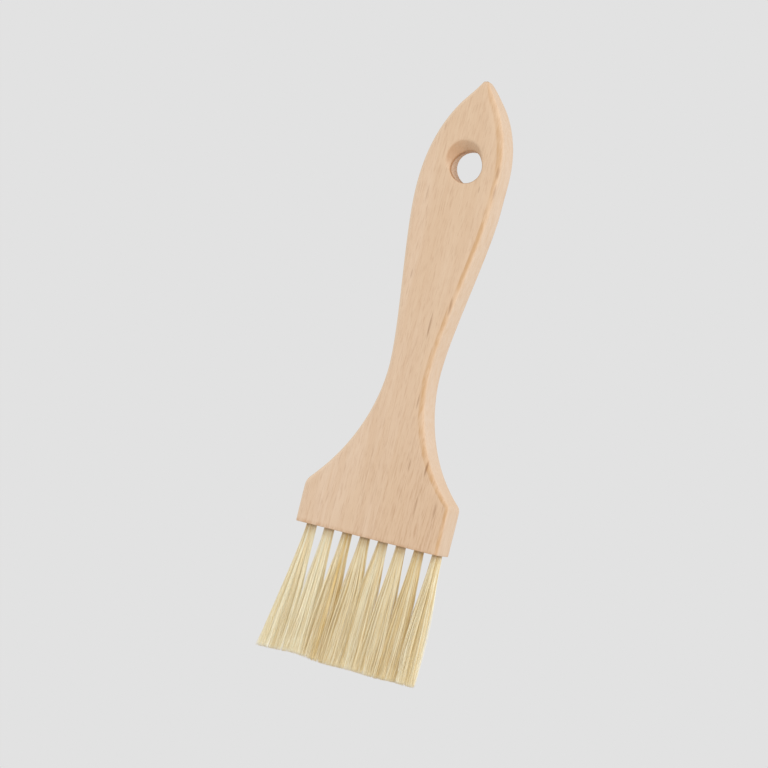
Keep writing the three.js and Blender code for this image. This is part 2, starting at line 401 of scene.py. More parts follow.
def edge_insets(outline, normals):
    """How far the rounding reaches in from each outline point: less where the outline turns sharply."""
    before, after = normals[:-2], normals[2:]
    turn = before[:, 0] * after[:, 1] - before[:, 1] * after[:, 0]
    gap = np.linalg.norm(outline[2:] - outline[:-2], axis=1)
    insets = np.where(normals[:, 0] > 0, np.interp(outline[:, 1], SANDED_AT, SANDED_REACH), EDGE_INSET)
    insets[1:-1] = np.minimum(insets[1:-1], TURN_SHARE * gap / np.maximum(turn, 1e-6))
    window = 2 * TURN_EASING + 1
    padded = np.pad(insets, TURN_EASING, mode="edge")
    lowest = [padded[i:i + window].min() for i in range(len(insets))]
    padded = np.pad(lowest, TURN_EASING, mode="edge")
    return np.array([padded[i:i + window].mean() for i in range(len(insets))])


def add_rounded_band(builder, outline, normals):
    """The board's rounded edges and side wall, as one row of points for each place on the outline."""
    quarter = np.linspace(0, math.pi / 2, EDGE_STEPS + 1)
    right_tint = np.interp(quarter, np.radians(RIGHT_TINT[0]), RIGHT_TINT[1])
    left_painted_light = np.interp(quarter, np.radians(LEFT_PAINTED_LIGHT[0]), LEFT_PAINTED_LIGHT[1])
    heights = THICKNESS - EDGE_ROUND * (1 - np.cos(quarter))
    front = list(zip(1 - np.sin(quarter), heights, right_tint, left_painted_light))
    wall_heights = np.linspace(THICKNESS - EDGE_ROUND, EDGE_ROUND, WALL_STEPS + 1)[1:-1]
    wall = [(0.0, z, 0.0, 0.0) for z in wall_heights]
    back = [(inset, THICKNESS - z, right, left) for inset, z, right, left in reversed(front)]
    rows = []
    for point, normal, reach in zip(outline, normals, edge_insets(outline, normals)):
        row = []
        for inset, z, right, left in front + wall + back:
            x, y = point - normal * inset * reach
            row.append(builder.add((x, y, z), edge=right if normal[0] > 0 else left))
        rows.append(row)
    for row_a, row_b in zip(rows, rows[1:]):
        builder.strip(row_a, row_b)
    return rows


def fill_flat(builder, loops, place, grid, skip):
    """Fills the space between loops of point numbers with triangles, with added points on a grid.

    place turns a flat pair into a 3D point, grid lists the added pairs, and skip tells what to leave open.
    """
    numbers = [n for loop in loops for n in loop[0]]
    flats = [tuple(flat) for loop in loops for flat in loop[1]]
    edges = []
    first = 0
    for loop, _ in loops:
        count = len(loop)
        edges += [(first + i, first + (i + 1) % count) for i in range(count)]
        first += count
    boundary = len(flats)
    flats += [tuple(pair) for pair in grid]
    result = delaunay_2d_cdt([Vector(f) for f in flats], edges, [], 1, SAME_PLACE)
    spots, _, triangles, originals = result[:4]
    used = {}
    for triangle in triangles:
        centre = sum((spots[i] for i in triangle), Vector((0, 0))) / 3
        if skip(centre):
            continue
        face = []
        for i in triangle:
            if i not in used:
                source = [o for o in originals[i] if o < boundary]
                used[i] = numbers[source[0]] if source else builder.add(place(spots[i]))
            face.append(used[i])
        builder.faces.append(tuple(face))


def inside_loop(pairs, x, y):
    """Which of the points (x, y) lie inside a closed loop of pairs."""
    result = np.zeros(x.shape, dtype=bool)
    for (x0, y0), (x1, y1) in zip(pairs, np.roll(pairs, -1, axis=0)):
        crosses = (y0 > y) != (y1 > y)
        at = x0 + (y - y0) * (x1 - x0) / np.where(y1 == y0, 1e-9, y1 - y0)
        result ^= crosses & (x < at)
    return result


def staggered_grid(low, high, step):
    xs = np.arange(low[0], high[0], step)
    ys = np.arange(low[1], high[1], step * GRID_ROW_SHARE)
    grid_x, grid_y = np.meshgrid(xs, ys)
    grid_x = grid_x + (np.arange(len(ys)) % 2)[:, None] * step / 2
    return grid_x.ravel(), grid_y.ravel()


def face_grid(pairs, clear_of_hole):
    """Added points for a face: on a staggered grid, inside the outline and clear of its edge and hole."""
    x, y = staggered_grid(pairs.min(axis=0), pairs.max(axis=0), FACE_GRID)
    keep = inside_loop(pairs, x, y)
    x, y = x[keep], y[keep]
    gaps = np.min(np.hypot(x[:, None] - pairs[None, :, 0], y[:, None] - pairs[None, :, 1]), axis=1)
    keep = gaps > FACE_GRID * EDGE_CLEARANCE
    x, y = x[keep], y[keep]
    keep = [clear_of_hole(a, b) for a, b in zip(x, y)]
    return np.stack([x[keep], y[keep]], axis=1)


def add_hanging_hole(builder):
    """The wall of the hanging hole, as rings from the front face to the back."""
    rounded = RIM_SOFTENING * (1 - np.cos(np.linspace(0, math.pi / 2, HOLE_RIM_RINGS)))
    middle = np.linspace(RIM_SOFTENING, THICKNESS - RIM_SOFTENING, HOLE_WALL_RINGS)[1:-1]
    heights = np.concatenate([THICKNESS - rounded, middle[::-1], rounded[::-1]])
    rings = []
    for z in heights:
        ring = []
        for angle in np.arange(HOLE_SIDES) * 2 * math.pi / HOLE_SIDES:
            radius = hanging_hole_radius(angle, z)
            x, y = HOLE_CENTRE + radius * np.array([math.cos(angle), math.sin(angle)])
            ring.append(builder.add((x, y, z), bore=hanging_hole_stain_and_shade(angle, z)))
        rings.append(ring)
    for ring_a, ring_b in zip(rings, rings[1:]):
        builder.strip(ring_b, ring_a, closed=True)
    return rings[0], rings[-1]


def add_flat_faces(builder, rows, front_rim, back_rim):
    """The front and back faces, between the rounded band, the sawn end and the hanging hole's rims."""
    end_loops = []
    for column, rim, z in ((0, front_rim, THICKNESS), (-1, back_rim, 0.0)):
        edge = [row[column] for row in rows]
        first, last = builder.points[edge[0]], builder.points[edge[-1]]
        count = round((first[0] - last[0]) / OUTLINE_STEP)
        end = [builder.add((x, END_Y, z)) for x in np.linspace(last[0], first[0], count + 1)[1:-1]]
        loop = edge + end
        pairs = np.array([builder.points[n][:2] for n in loop])
        rim_pairs = np.array([builder.points[n][:2] for n in rim])

        def in_hole(x, y, margin=0.0, z=z):
            across, up = x - HOLE_CENTRE[0], y - HOLE_CENTRE[1]
            return math.hypot(across, up) < hanging_hole_radius(math.atan2(up, across), z) + margin

        grid = face_grid(pairs, lambda x, y: not in_hole(x, y, FACE_GRID * HOLE_CLEARANCE))
        fill_flat(builder, [(loop, pairs), (rim, rim_pairs)], lambda f, z=z: (f[0], f[1], z), grid,
                  lambda c: in_hole(c[0], c[1], -TOLERANCE))
        end_loops.append(end)
    return end_loops


def add_sawn_end(builder, rows, front_end, back_end):
    """The flat end of the head, with the blind holes that the tufts sit in."""
    loop = rows[0] + back_end[::-1] + rows[-1][::-1] + front_end
    pairs = np.array([(builder.points[n][0], builder.points[n][2]) for n in loop])
    loops = [(loop, pairs)]
    angles = np.arange(TUFT_HOLE_SIDES) * 2 * math.pi / TUFT_HOLE_SIDES
    soft = TUFT_RIM_SOFTENING
    rim_levels = [(0.0, soft), (soft * 0.3, soft * 0.3), (soft, 0.0)]
    levels = rim_levels + [(depth, 0.0) for depth in TUFT_HOLE_RINGS]
    for root in ROOTS:
        rings = []
        for depth, extra in levels:
            radius = TUFT_HOLE_RADIUS + extra
            places = [root + radius * np.array([math.cos(a), 0, math.sin(a)]) for a in angles]
            # painted shade: darker deeper in the hole
            stain_and_shade = min(1.0, TUFT_RIM_SHADE + depth)
            rings.append([builder.add((x, END_Y + depth, z), bore=stain_and_shade) for x, _, z in places])
        for ring_a, ring_b in zip(rings, rings[1:]):
            builder.strip(ring_a, ring_b, closed=True)
        bottom = builder.add((root[0], END_Y + TUFT_HOLE_DEPTH + TUFT_HOLE_POINT, root[2]), bore=1.0)
        for i in range(TUFT_HOLE_SIDES):
            builder.faces.append((rings[-1][i], rings[-1][(i + 1) % TUFT_HOLE_SIDES], bottom))
        rim_pairs = np.array([(builder.points[n][0], builder.points[n][2]) for n in rings[0]])
        loops.append((rings[0], rim_pairs))

    def in_tuft_hole(x, z, margin=0.0):
        return any(math.hypot(x - r[0], z - r[2]) < TUFT_HOLE_RADIUS + soft + margin for r in ROOTS)

    lowest = (BOARD_LOW[0] + END_GRID_MARGIN, END_GRID_MARGIN)
    highest = (BOARD_HIGH[0] - END_GRID_MARGIN, THICKNESS - END_GRID_MARGIN)
    x, z = staggered_grid(lowest, highest, END_GRID)
    grid = np.array([(a, b) for a, b in zip(x, z) if not in_tuft_hole(a, b, HOLE_CLEARANCE)])
    fill_flat(builder, loops, lambda f: (f[0], END_Y, f[1]), grid,
              lambda c: in_tuft_hole(c[0], c[1], -TOLERANCE))


def shaped_point(point):
    """Moves a point of the plain board for the rounded-over tip and the slanting saw cut."""
    x, y, z = point
    ridge = THICKNESS - NOSE_FRONT
    front, back = THICKNESS, 0.0
    from_tip = max(TIP_Y - y, 0.0)
    if from_tip < NOSE_FRONT:
        front = ridge + math.sqrt(NOSE_FRONT**2 - (NOSE_FRONT - from_tip) ** 2)
    if from_tip < NOSE_BACK_LENGTH:
        back = ridge - ridge * math.sqrt(1 - (1 - from_tip / NOSE_BACK_LENGTH) ** 2)
    pinch = TIP_PINCH * max(1 - from_tip / TIP_PINCH_LENGTH, 0.0)
    x += (TIP_X - x) * pinch
    fade = min(max(1 - (y - END_Y) / SAW_FADE, 0.0), 1.0)
    return x, y + SAW_SLOPE * x * fade, back + z / THICKNESS * (front - back)


def soften_sawn_end(mesh):
    """Rounds the sharp rim round the sawn end a little, and makes every face look outwards."""
    work = bmesh.new()
    work.from_mesh(mesh)
    bmesh.ops.remove_doubles(work, verts=work.verts, dist=SAME_PLACE)
    bmesh.ops.recalc_face_normals(work, faces=work.faces)
    rim = []
    for edge in work.edges:
        on_end = all(abs(v.co.y - END_Y * MM - SAW_SLOPE * v.co.x) < SAME_PLACE for v in edge.verts)
        if on_end and len(edge.link_faces) == 2 and edge.calc_face_angle() > SHARP_ANGLE:
            middle = (edge.verts[0].co + edge.verts[1].co) / 2 / MM
            if all(math.hypot(middle.x - r[0], middle.z - r[2]) > TUFT_HOLE_RADIUS + 0.3 for r in ROOTS):
                rim.append(edge)
    bmesh.ops.bevel(work, geom=rim, offset=END_SOFTENING * MM, segments=3, profile=0.5, affect="EDGES",
                    clamp_overlap=True)
    for face in work.faces:
        face.smooth = True
    work.to_mesh(mesh)
    work.free()


def uneven_faces(mesh):
    """Hand-sanded unevenness of a few hundredths of a millimetre on the two faces."""
    count = len(mesh.vertices)
    places = np.empty(count * 3, dtype=np.float32)
    mesh.vertices.foreach_get("co", places)
    places = places.reshape(-1, 3) / MM
    side = 2 * places[:, 2] / THICKNESS - 1
    lift = wave(places[:, 0], places[:, 1], WAVE_ACROSS, WAVE_ALONG, SURFACE_SEED) * SURFACE_WAVE
    places[:, 2] += np.sign(side) * np.abs(side) ** 3 * lift
    mesh.vertices.foreach_set("co", (places * MM).ravel())
    mesh.update()


def build_handle(material):
    outline, normals = refined_outline(cad_outline())
    builder = MeshBuilder("edge", "bore")
    rows = add_rounded_band(builder, outline, normals)
    front_rim, back_rim = add_hanging_hole(builder)
    front_end, back_end = add_flat_faces(builder, rows, front_rim, back_rim)
    add_sawn_end(builder, rows, front_end, back_end)
    builder.points = [shaped_point(p) for p in builder.points]
    mesh = builder.make("beech_handle")
    soften_sawn_end(mesh)
    uneven_faces(mesh)
    add_piece("beech_handle", mesh, material, "handle")


# ---------------------------------------------------------------- bristles
def divider(index, depth):
    """Where the border between tufts index and index + 1 lies at a depth below the wood."""
    root = (ROOTS[index][0] + ROOTS[index + 1][0]) / 2
    tip = TIP_ROW_LEFT + (index + 1) * (TIP_ROW_RIGHT - TIP_ROW_LEFT) / TUFT_COUNT
    return root + (tip - root) * depth / BRISTLE_LENGTH


def tuft_edge(index, side, depth):
    """The left (-1) or right (1) edge of a tuft at a depth below the wood."""
    start = ROOTS[index][0] + side * ROOT_SPREAD
    gap = index if side > 0 else index - 1
    if 0 <= gap < TUFT_COUNT - 1:
        closing = GAP_LENGTHS[gap]
        share = np.minimum(depth / closing, 1.0) ** GAP_CURVE
        return start + (divider(gap, np.maximum(depth, closing)) - start) * share
    share = depth / BRISTLE_LENGTH
    if side < 0:
        return start + (TIP_ROW_LEFT - LEFT_FLARE - start) * share**LEFT_CURVE
    return start + (TIP_ROW_RIGHT + RIGHT_FLARE - start) * share**RIGHT_CURVE


def trimmed_length(x):
    """How far below the wood a hair is cut off, at a place across the brush."""
    across = (x - TIP_ROW_LEFT) / (TIP_ROW_RIGHT - TIP_ROW_LEFT)
    dip = -TRIM_DIP * np.exp(-(((across - TRIM_DIP_PLACE) / TRIM_DIP_PLACE) ** 2))
    ripple = TRIM_WAVE * np.sin(across * TRIM_WAVE_TURNS)
    return BRISTLE_LENGTH + TRIM_EXTRA + TRIM_SLOPE * across + dip + ripple


def make_locks(paleness, rng):
    """Locks of hair that lean and bend together: each one's centre across and deep, lean, sway and tone."""
    locks = []
    for k in range(LOCKS_PER_TUFT):
        radius = math.sqrt((k + 0.5) / LOCKS_PER_TUFT)
        angle = k * GOLDEN_TURN + LOCK_FIRST_ANGLE
        centre = radius * np.array([math.cos(angle), math.sin(angle)]) + rng.normal(0, LOCK_SCATTER, 2)
        stray = STRAY_LOCK_FACTOR if rng.random() < STRAY_LOCK_SHARE else 1.0
        tone = DARK_LOCK_TONE if rng.random() < DARK_LOCK_SHARE else rng.uniform(*LOCK_TONES)
        lean = rng.normal(0, LOCK_LEAN) * stray
        sway = rng.normal(0, LOCK_SWAY, 2) * stray
        locks.append((centre, lean, sway, tone + paleness))
    return locks


def nearest_lock(locks, spot):
    return min(locks, key=lambda lock: np.hypot(*(lock[0] - spot)))


def hair_end_path(index, spot, lock, rng):
    """Points of one half of a hair, from the hole's mouth to its trimmed tip."""
    centre, lean, lock_sway, _ = lock
    across, deep = spot
    largest = max(abs(across), abs(deep), 1e-6)
    stretch = TIP_SPREAD * (1 + TIP_SQUARENESS * (math.hypot(across, deep) / largest - 1))
    gathered = spot + (centre - spot) * TIP_GATHER
    tip = gathered * stretch + rng.normal(0, TIP_SCATTER)
    tip_u, tip_v = np.clip(tip, np.negative(TIP_LIMITS), TIP_LIMITS)
    wander = lean + rng.normal(0, HAIR_LEAN, 2)
    if rng.random() < STRAY_SHARE:
        wander = wander + rng.normal(0, STRAY_LEAN)
    sway = lock_sway + rng.normal(0, HAIR_SWAY, 2)
    left_end, right_end = tuft_edge(index, -1, BRISTLE_LENGTH), tuft_edge(index, 1, BRISTLE_LENGTH)
    end_x = left_end * (1 - tip_u) / 2 + right_end * (1 + tip_u) / 2
    length = trimmed_length(end_x) - abs(rng.normal(0, TRIM_SPREAD))
    length -= (rng.random() < SHORT_SHARE) * rng.uniform(*SHORT_BY)
    shares = HAIR_STATIONS
    depth = shares * length
    flare = np.minimum(depth / FLARE_LENGTH, 1.0)
    u = across + (tip_u - across) * flare
    v = deep + (tip_v - deep) * flare
    left, right = tuft_edge(index, -1, depth), tuft_edge(index, 1, depth)
    x = left * (1 - u) / 2 + right * (1 + u) / 2
    deepening = (depth / BRISTLE_LENGTH) ** DEPTH_CURVE
    half_depth = ROOT_SPREAD + (TIP_HALF_DEPTH - ROOT_SPREAD) * deepening
    z = ROOTS[index][2] + v * half_depth
    leaning = shares**LEAN_CURVE
    swaying = np.sin(shares * math.pi) * shares
    x = x + wander[0] * leaning + sway[0] * swaying
    z = z + wander[1] * leaning + sway[1] * swaying
    return np.stack([x, END_Y + SAW_SLOPE * x - depth, z], axis=1), shares


def fold_path(index, start, finish):
    """Points of the hair inside the hole: past the anchor, round over its far side and back again."""
    low, high = ANCHOR_BOXES[index]
    centre = ROOTS[index]
    clear = (high[0] - low[0]) / 2 + ANCHOR_CLEARANCE
    turn_y = high[1] + FOLD_GAP
    ends = []
    for x_side, mouth in ((1, start), (-1, finish)):
        reach = min(clear + FOLD_WIDENING * abs(mouth[0] - centre[0]), FOLD_REACH)
        depth = (mouth[2] - centre[2]) * FOLD_DEPTH_SHARE
        ends.append(np.array([centre[0] + x_side * reach, turn_y - FOLD_LEG, centre[2] + depth]))
    right, left = ends
    radius = (right[0] - left[0]) / 2
    middle = (right + left) / 2
    rise = min(radius, TUFT_HOLE_DEPTH + END_Y - FOLD_BOTTOM_SPACE - turn_y)
    path = [right]
    for angle in np.linspace(0, math.pi, FOLD_STEPS):
        path.append(middle + np.array([radius * math.cos(angle), FOLD_LEG + rise * math.sin(angle), 0]))
    path.append(left)
    return np.array(path)


def tube(points, radii, sides):
    """Rings of a tube along points, with their frames carried along so that it doesn't twist."""
    tangents = np.gradient(points, axis=0)
    tangents /= np.linalg.norm(tangents, axis=1)[:, None]
    reference = np.array([0.0, 0.0, 1.0])
    rings = []
    for point, tangent, radius in zip(points, tangents, radii):
        reference = reference - tangent * (reference @ tangent)
        reference /= np.linalg.norm(reference)
        second = np.cross(tangent, reference)
        angles = (np.arange(sides) + 0.5) * 2 * math.pi / sides
        spokes = np.cos(angles)[:, None] * reference + np.sin(angles)[:, None] * second
        rings.append(point + radius * spokes)
    return np.concatenate(rings)


def tube_faces(first, rings, sides):
    faces = []
    for ring in range(rings - 1):
        for side in range(sides):
            a = first + ring * sides + side
            b = first + ring * sides + (side + 1) % sides
            faces.append((a, b, b + sides, a + sides))
    last = first + (rings - 1) * sides
    faces.append(tuple(first + k for k in reversed(range(sides))))
    faces.append(tuple(last + k for k in range(sides)))
    return faces


def disc_spots(count, rng):
    """Evenly packed spots on the right half of a unit disc, one for each folded hair."""
    spots = []
    for k in range(2 * count):
        radius = math.sqrt((k + 0.5) / (2 * count)) * ROOT_FILL
        angle = k * GOLDEN_TURN
        if math.cos(angle) > 0:
            spot = radius * np.array([math.cos(angle), math.sin(angle)])
            spots.append(spot + rng.normal(0, ROOT_SCATTER, 2))
    return spots


def hair_tone(lock, rng):
    """How pale a hair is, from 0 to 1: locks of hair share a tone, and each hair varies."""
    return float(np.clip(lock[3] + rng.normal(0, HAIR_TONE_SPREAD), *HAIR_TONE_LIMITS))


def build_tuft(index, material):
    rng = np.random.default_rng(FIRST_TUFT_SEED + index)
    locks = make_locks(TUFT_PALENESS[index], rng)
    points, faces, tones, along = [], [], [], []
    for spot in disc_spots(HAIRS_PER_TUFT, rng):
        mirrored = spot * (-1, 1) + rng.normal(0, FAR_ROOT_SCATTER)
        near_lock, far_lock = nearest_lock(locks, spot), nearest_lock(locks, mirrored)
        near, near_shares = hair_end_path(index, spot, near_lock, rng)
        far, far_shares = hair_end_path(index, mirrored, far_lock, rng)
        fold = fold_path(index, near[0], far[0])
        path = np.concatenate([near[::-1], fold, far])
        shares = np.concatenate([near_shares[::-1], np.zeros(len(fold)), far_shares])
        size = HAIR_RADIUS * rng.uniform(*HAIR_RADIUS_FACTORS)
        radii = size * (1 - HAIR_TAPER * shares)
        radii[[0, -1]] *= CUT_TAPER
        faces += tube_faces(sum(len(p) for p in points), len(path), HAIR_SIDES)
        points.append(tube(path, radii, HAIR_SIDES))
        half = len(near) + len(fold) // 2
        tone = np.full(len(path), hair_tone(near_lock, rng))
        tone[half:] = hair_tone(far_lock, rng)
        tones.append(np.repeat(tone, HAIR_SIDES))
        along.append(np.repeat(shares, HAIR_SIDES))
    name = f"bristles_{index + 1}"
    mesh = bpy.data.meshes.new(name)
    mesh.from_pydata(np.concatenate(points) * MM, [], faces)
    store_values(mesh, {"tone": np.concatenate(tones), "along": np.concatenate(along)})
    mesh.polygons.foreach_set("use_smooth", np.ones(len(mesh.polygons), dtype=bool))
    add_piece(name, mesh, material, f"tuft_{index + 1}")


# ---------------------------------------------------------------- materials
class Nodes:
    """Short calls for building a node tree."""

    def __init__(self, tree):
        self.tree = tree

    def add(self, kind, inputs=None, **settings):
        node = self.tree.nodes.new(kind)
        for name, value in settings.items():
            setattr(node, name, value)
        for name, value in (inputs or {}).items():
            self.feed(node.inputs[name], value)
        return node

    def feed(self, socket, value):
        if isinstance(value, bpy.types.NodeSocket):
            self.tree.links.new(value, socket)
        else:
            socket.default_value = value

    def math(self, operation, a, b=0.0, clamp=False):
        return self.add("ShaderNodeMath", {0: a, 1: b}, operation=operation, use_clamp=clamp).outputs[0]

    def times(self, a, b):
        return self.math("MULTIPLY", a, b)

    def mix(self, share, a, b):
        node = self.add("ShaderNodeMix", data_type="RGBA")
        for socket, value in ((node.inputs[0], share), (node.inputs[6], a), (node.inputs[7], b)):
            self.feed(socket, value)
        return node.outputs[2]

    def ramp(self, value, low, high):
        """Rises smoothly from 0 at one value to 1 at the other."""
        inputs = {"Value": value, "From Min": low, "From Max": high}
        return self.add("ShaderNodeMapRange", inputs, interpolation_type="SMOOTHSTEP").outputs["Result"]

    def value(self, name):
        return self.add("ShaderNodeAttribute", attribute_name=name).outputs["Fac"]

    def stretched(self, vector, size, place=(0, 0, 0), turn=(0, 0, 0)):
        """Coordinates in which a pattern of unit size becomes one of the given size in millimetres."""
        scale = tuple(1 / (s * MM) for s in size)
        inputs = {"Vector": vector, "Location": place, "Rotation": turn, "Scale": scale}
        return self.add("ShaderNodeMapping", inputs).outputs[0]

    def noise(self, vector, detail=3.0, roughness=0.55, distortion=0.0):
        inputs = {"Vector": vector, "Scale": 1.0, "Detail": detail, "Roughness": roughness,
                  "Distortion": distortion}
        return self.add("ShaderNodeTexNoise", inputs).outputs["Fac"]

    def tint(self, base, amount, share, target):
        """The base with a colour mixed in, by a share of an amount."""
        return self.mix(self.times(amount, share), base, target)

    def surface(self, shader, base, roughness, relief, strength, distance):
        """Feeds a shader its colour and roughness, and its relief as a bump of so many millimetres."""
        inputs = {"Height": relief, "Strength": strength, "Distance": distance * MM}
        bump = self.add("ShaderNodeBump", inputs)
        self.feed(shader.inputs["Base Color"], base)
        self.feed(shader.inputs["Roughness"], roughness)
        self.feed(shader.inputs["Normal"], bump.outputs[0])


def new_material(name):
    material = bpy.data.materials.new(name)
    material.use_nodes = True
    material.node_tree.nodes.clear()
    nodes = Nodes(material.node_tree)
    shader = nodes.add("ShaderNodeBsdfPrincipled")
    output = nodes.add("ShaderNodeOutputMaterial")
    nodes.feed(output.inputs["Surface"], shader.outputs[0])
    return material, nodes, shader


def colour(red, green, blue):
    """A screen colour, 0 to 255, as the linear colour that shaders use."""
    shares = (red / 255, green / 255, blue / 255)
    linear = [c / 12.92 if c <= 0.04045 else ((c + 0.055) / 1.055) ** 2.4 for c in shares]
    return (*linear, 1.0)


BEECH_PALE = colour(228, 200, 172)
BEECH_WARM = colour(224, 194, 162)
BEECH_BAND = colour(218, 185, 152)
BEECH_RIGHT = colour(217, 182, 146)
BEECH_FIBRE = colour(211, 175, 142)
BEECH_FLECK = colour(176, 132, 96)
BEECH_STREAK = colour(176, 130, 90)
BEECH_RARE_FLECK = colour(156, 112, 78)
BEECH_SPOT = colour(138, 90, 52)
BEECH_LIT_EDGE = colour(250, 222, 192)
BEECH_BROWN_EDGE = colour(194, 148, 96)
BEECH_SAWN_EDGE = colour(190, 138, 92)
BEECH_BORE = colour(181, 136, 95)
BEECH_RING_PALE = colour(214, 180, 144)
BEECH_RING_DARK = colour(196, 156, 116)
BEECH_PORE = colour(140, 98, 62)
BEECH_SIDE_SHEEN = colour(217, 199, 180)
BEECH_SIDE_STREAK = colour(208, 168, 124)
BRISTLE_DARK = colour(222, 194, 130)
BRISTLE_PALE = colour(248, 241, 216)
BRISTLE_ROOT_SHADE = colour(184, 146, 96)
BRISTLE_MOUTH_SHADE = colour(154, 116, 70)
BRISTLE_CUT_SHADE = colour(170, 142, 104)
METAL_BRIGHT = colour(196, 197, 200)
METAL_DULL = colour(158, 158, 160)


# The grain leans a little from the handle's length, and its rings cross the sawn end at a slant.
GRAIN_TURN = math.radians(-1.5)
RING_TURN = math.radians(12)
# Single dark flecks of the handle's front: centre x and y, length, width in millimetres, and strength.
FLECK_DEPTH = 1.5
FRONT_FLECKS = (
    (3.8, 60.0, 8.5, 0.7, 0.45),
    (8.6, 15.6, 5.0, 0.6, 0.4),
    (6.2, 36.0, 5.5, 0.6, 0.4),
    (14.4, 16.0, 5.5, 0.8, 0.6),
    (20.6, 3.6, 6.0, 0.8, 0.4),
    (9.0, 67.5, 6.5, 0.8, 0.4),
    (-6.5, 75.0, 3.5, 0.6, 0.3),
    (14.0, 4.0, 7.0, 0.7, 0.35),
    (13.6, 112.0, 5.0, 1.0, 0.35),
    (14.1, 105.5, 6.0, 1.0, 0.4),
    (-7.9, 101.0, 6.0, 0.6, 0.25),
    (8.9, 105.6, 2.6, 0.5, 0.3),
)


def fleck_spots(n, place, fibre):
    """The single flecks of the front face, ragged along the fibre."""
    spots = None
    for x, y, length, width, power in FRONT_FLECKS:
        centre = (x * MM, y * MM, THICKNESS * MM)
        scale = (2 / (width * MM), 2 / (length * MM), 1 / (FLECK_DEPTH * MM))
        offset = n.add("ShaderNodeVectorMath", {0: place, 1: centre}, operation="SUBTRACT").outputs[0]
        scaled = n.add("ShaderNodeVectorMath", {0: offset, 1: scale}, operation="MULTIPLY").outputs[0]
        reach = n.add("ShaderNodeVectorMath", {0: scaled}, operation="LENGTH").outputs["Value"]
        ragged = n.math("ADD", reach, n.times(n.math("SUBTRACT", fibre, 0.5), 0.9))
        spot = n.times(n.ramp(ragged, 1.25, 0.35), power)
        spots = spot if spots is None else n.math("MAXIMUM", spots, spot)
    return spots


def board_places(n):
    """Where things lie on the board: its coordinates, and shares from 0 to 1."""
    at = SimpleNamespace(worn_and_lit_edge=n.value("edge"), bore=n.value("bore"))
    at.place = n.add("ShaderNodeTexCoord").outputs["Object"]
    split = n.add("ShaderNodeSeparateXYZ", {0: at.place})
    normal = n.add("ShaderNodeSeparateXYZ", {0: n.add("ShaderNodeNewGeometry").outputs["Normal"]})
    at.along = split.outputs[1]
    at.end_grain = n.ramp(n.math("ABSOLUTE", normal.outputs[1]), 0.8, 0.97)
    facing_out = n.ramp(n.math("ABSOLUTE", normal.outputs[2]), 0.2, 0.8)
    toward_right = n.ramp(split.outputs[0], -0.014, 0.022)
    toward_head = n.ramp(at.along, 0.060, 0.010)
    at.right_face = n.times(n.times(toward_right, toward_head), facing_out)
    at.right_wall = n.times(n.ramp(normal.outputs[0], 0.6, 0.97), n.math("SUBTRACT", 1.0, at.bore))
    at.to_right = n.ramp(normal.outputs[0], -0.1, 0.15)
    at.near_tip = n.ramp(at.along, 0.118, 0.132)
    return at


def grain_patterns(n, place):
    """The patterns of beech, each with its size in millimetres across, along and through the board."""
    turned = (0, 0, GRAIN_TURN)
    grain = SimpleNamespace()
    grain.broad = n.noise(n.stretched(place, (16, 90, 16)), 2.0)
    grain.bands = n.noise(n.stretched(place, (2.2, 55, 2.6), turn=turned), 3.0, 0.6, 0.3)
    grain.fibre = n.noise(n.stretched(place, (0.34, 9, 0.34), turn=turned), 3.0, 0.65)
    fleck_place = n.stretched(place, (0.34, 4.0, 0.34), turn=turned)
    grain.flecks = n.ramp(n.noise(fleck_place, 2.0, 0.5), 0.5, 0.72)
    rare_place = n.stretched(place, (0.6, 5.0, 0.6), place=(7, 3, 1), turn=turned)
    grain.rare_flecks = n.ramp(n.noise(rare_place, 1.0, 0.4), 0.64, 0.76)
    streak_place = n.stretched(place, (0.42, 7.5, 0.6), place=(2, 9, 4), turn=turned)
    grain.streaks = n.noise(streak_place, 2.0, 0.6)
    grain.pores = n.noise(n.stretched(place, (0.28, 6, 0.28)), 2.0, 0.6)
    grain.rings = n.noise(n.stretched(place, (14, 30, 1.1), turn=(0, RING_TURN, 0)), 3.0, 0.5, 0.4)
    grain.spots = fleck_spots(n, place, grain.fibre)
    return grain


def long_grain_colour(n, at, grain):
    """The colour of the faces and walls, from the broadest pattern to the finest."""
    base = n.mix(n.ramp(grain.broad, 0.3, 0.7), BEECH_PALE, BEECH_WARM)
    base = n.tint(base, n.ramp(grain.bands, 0.35, 0.68), 0.5, BEECH_BAND)
    base = n.tint(base, at.right_face, 0.55, BEECH_RIGHT)
    base = n.tint(base, n.ramp(grain.fibre, 0.35, 0.75), 0.35, BEECH_FIBRE)
    base = n.tint(base, grain.flecks, 0.24, BEECH_FLECK)
    face_streaks = n.times(n.ramp(grain.streaks, 0.5, 0.68), at.right_face)
    base = n.tint(base, face_streaks, 0.4, BEECH_STREAK)
    return n.tint(base, grain.rare_flecks, 0.14, BEECH_RARE_FLECK)


def worn_and_lit_edge_colour(n, at, base):
    """The rounded edges: painted light on the left, and browned unevenly on the right, less so near the
    tip.
    """
    edge_noise = n.noise(n.stretched(at.place, (1.2, 7, 3)), 3.0)
    edge_power = n.math("ADD", 0.42, n.times(n.ramp(edge_noise, 0.34, 0.64), 0.75))
    left_power = n.times(n.math("SUBTRACT", 1.0, at.to_right), 0.9)
    right_power = n.times(at.to_right, n.math("SUBTRACT", 0.62, n.times(at.near_tip, 0.3)))
    # painted light along the left rounding
    base = n.tint(base, at.worn_and_lit_edge, left_power, BEECH_LIT_EDGE)
    return n.tint(base, n.times(at.worn_and_lit_edge, edge_power), right_power, BEECH_BROWN_EDGE)


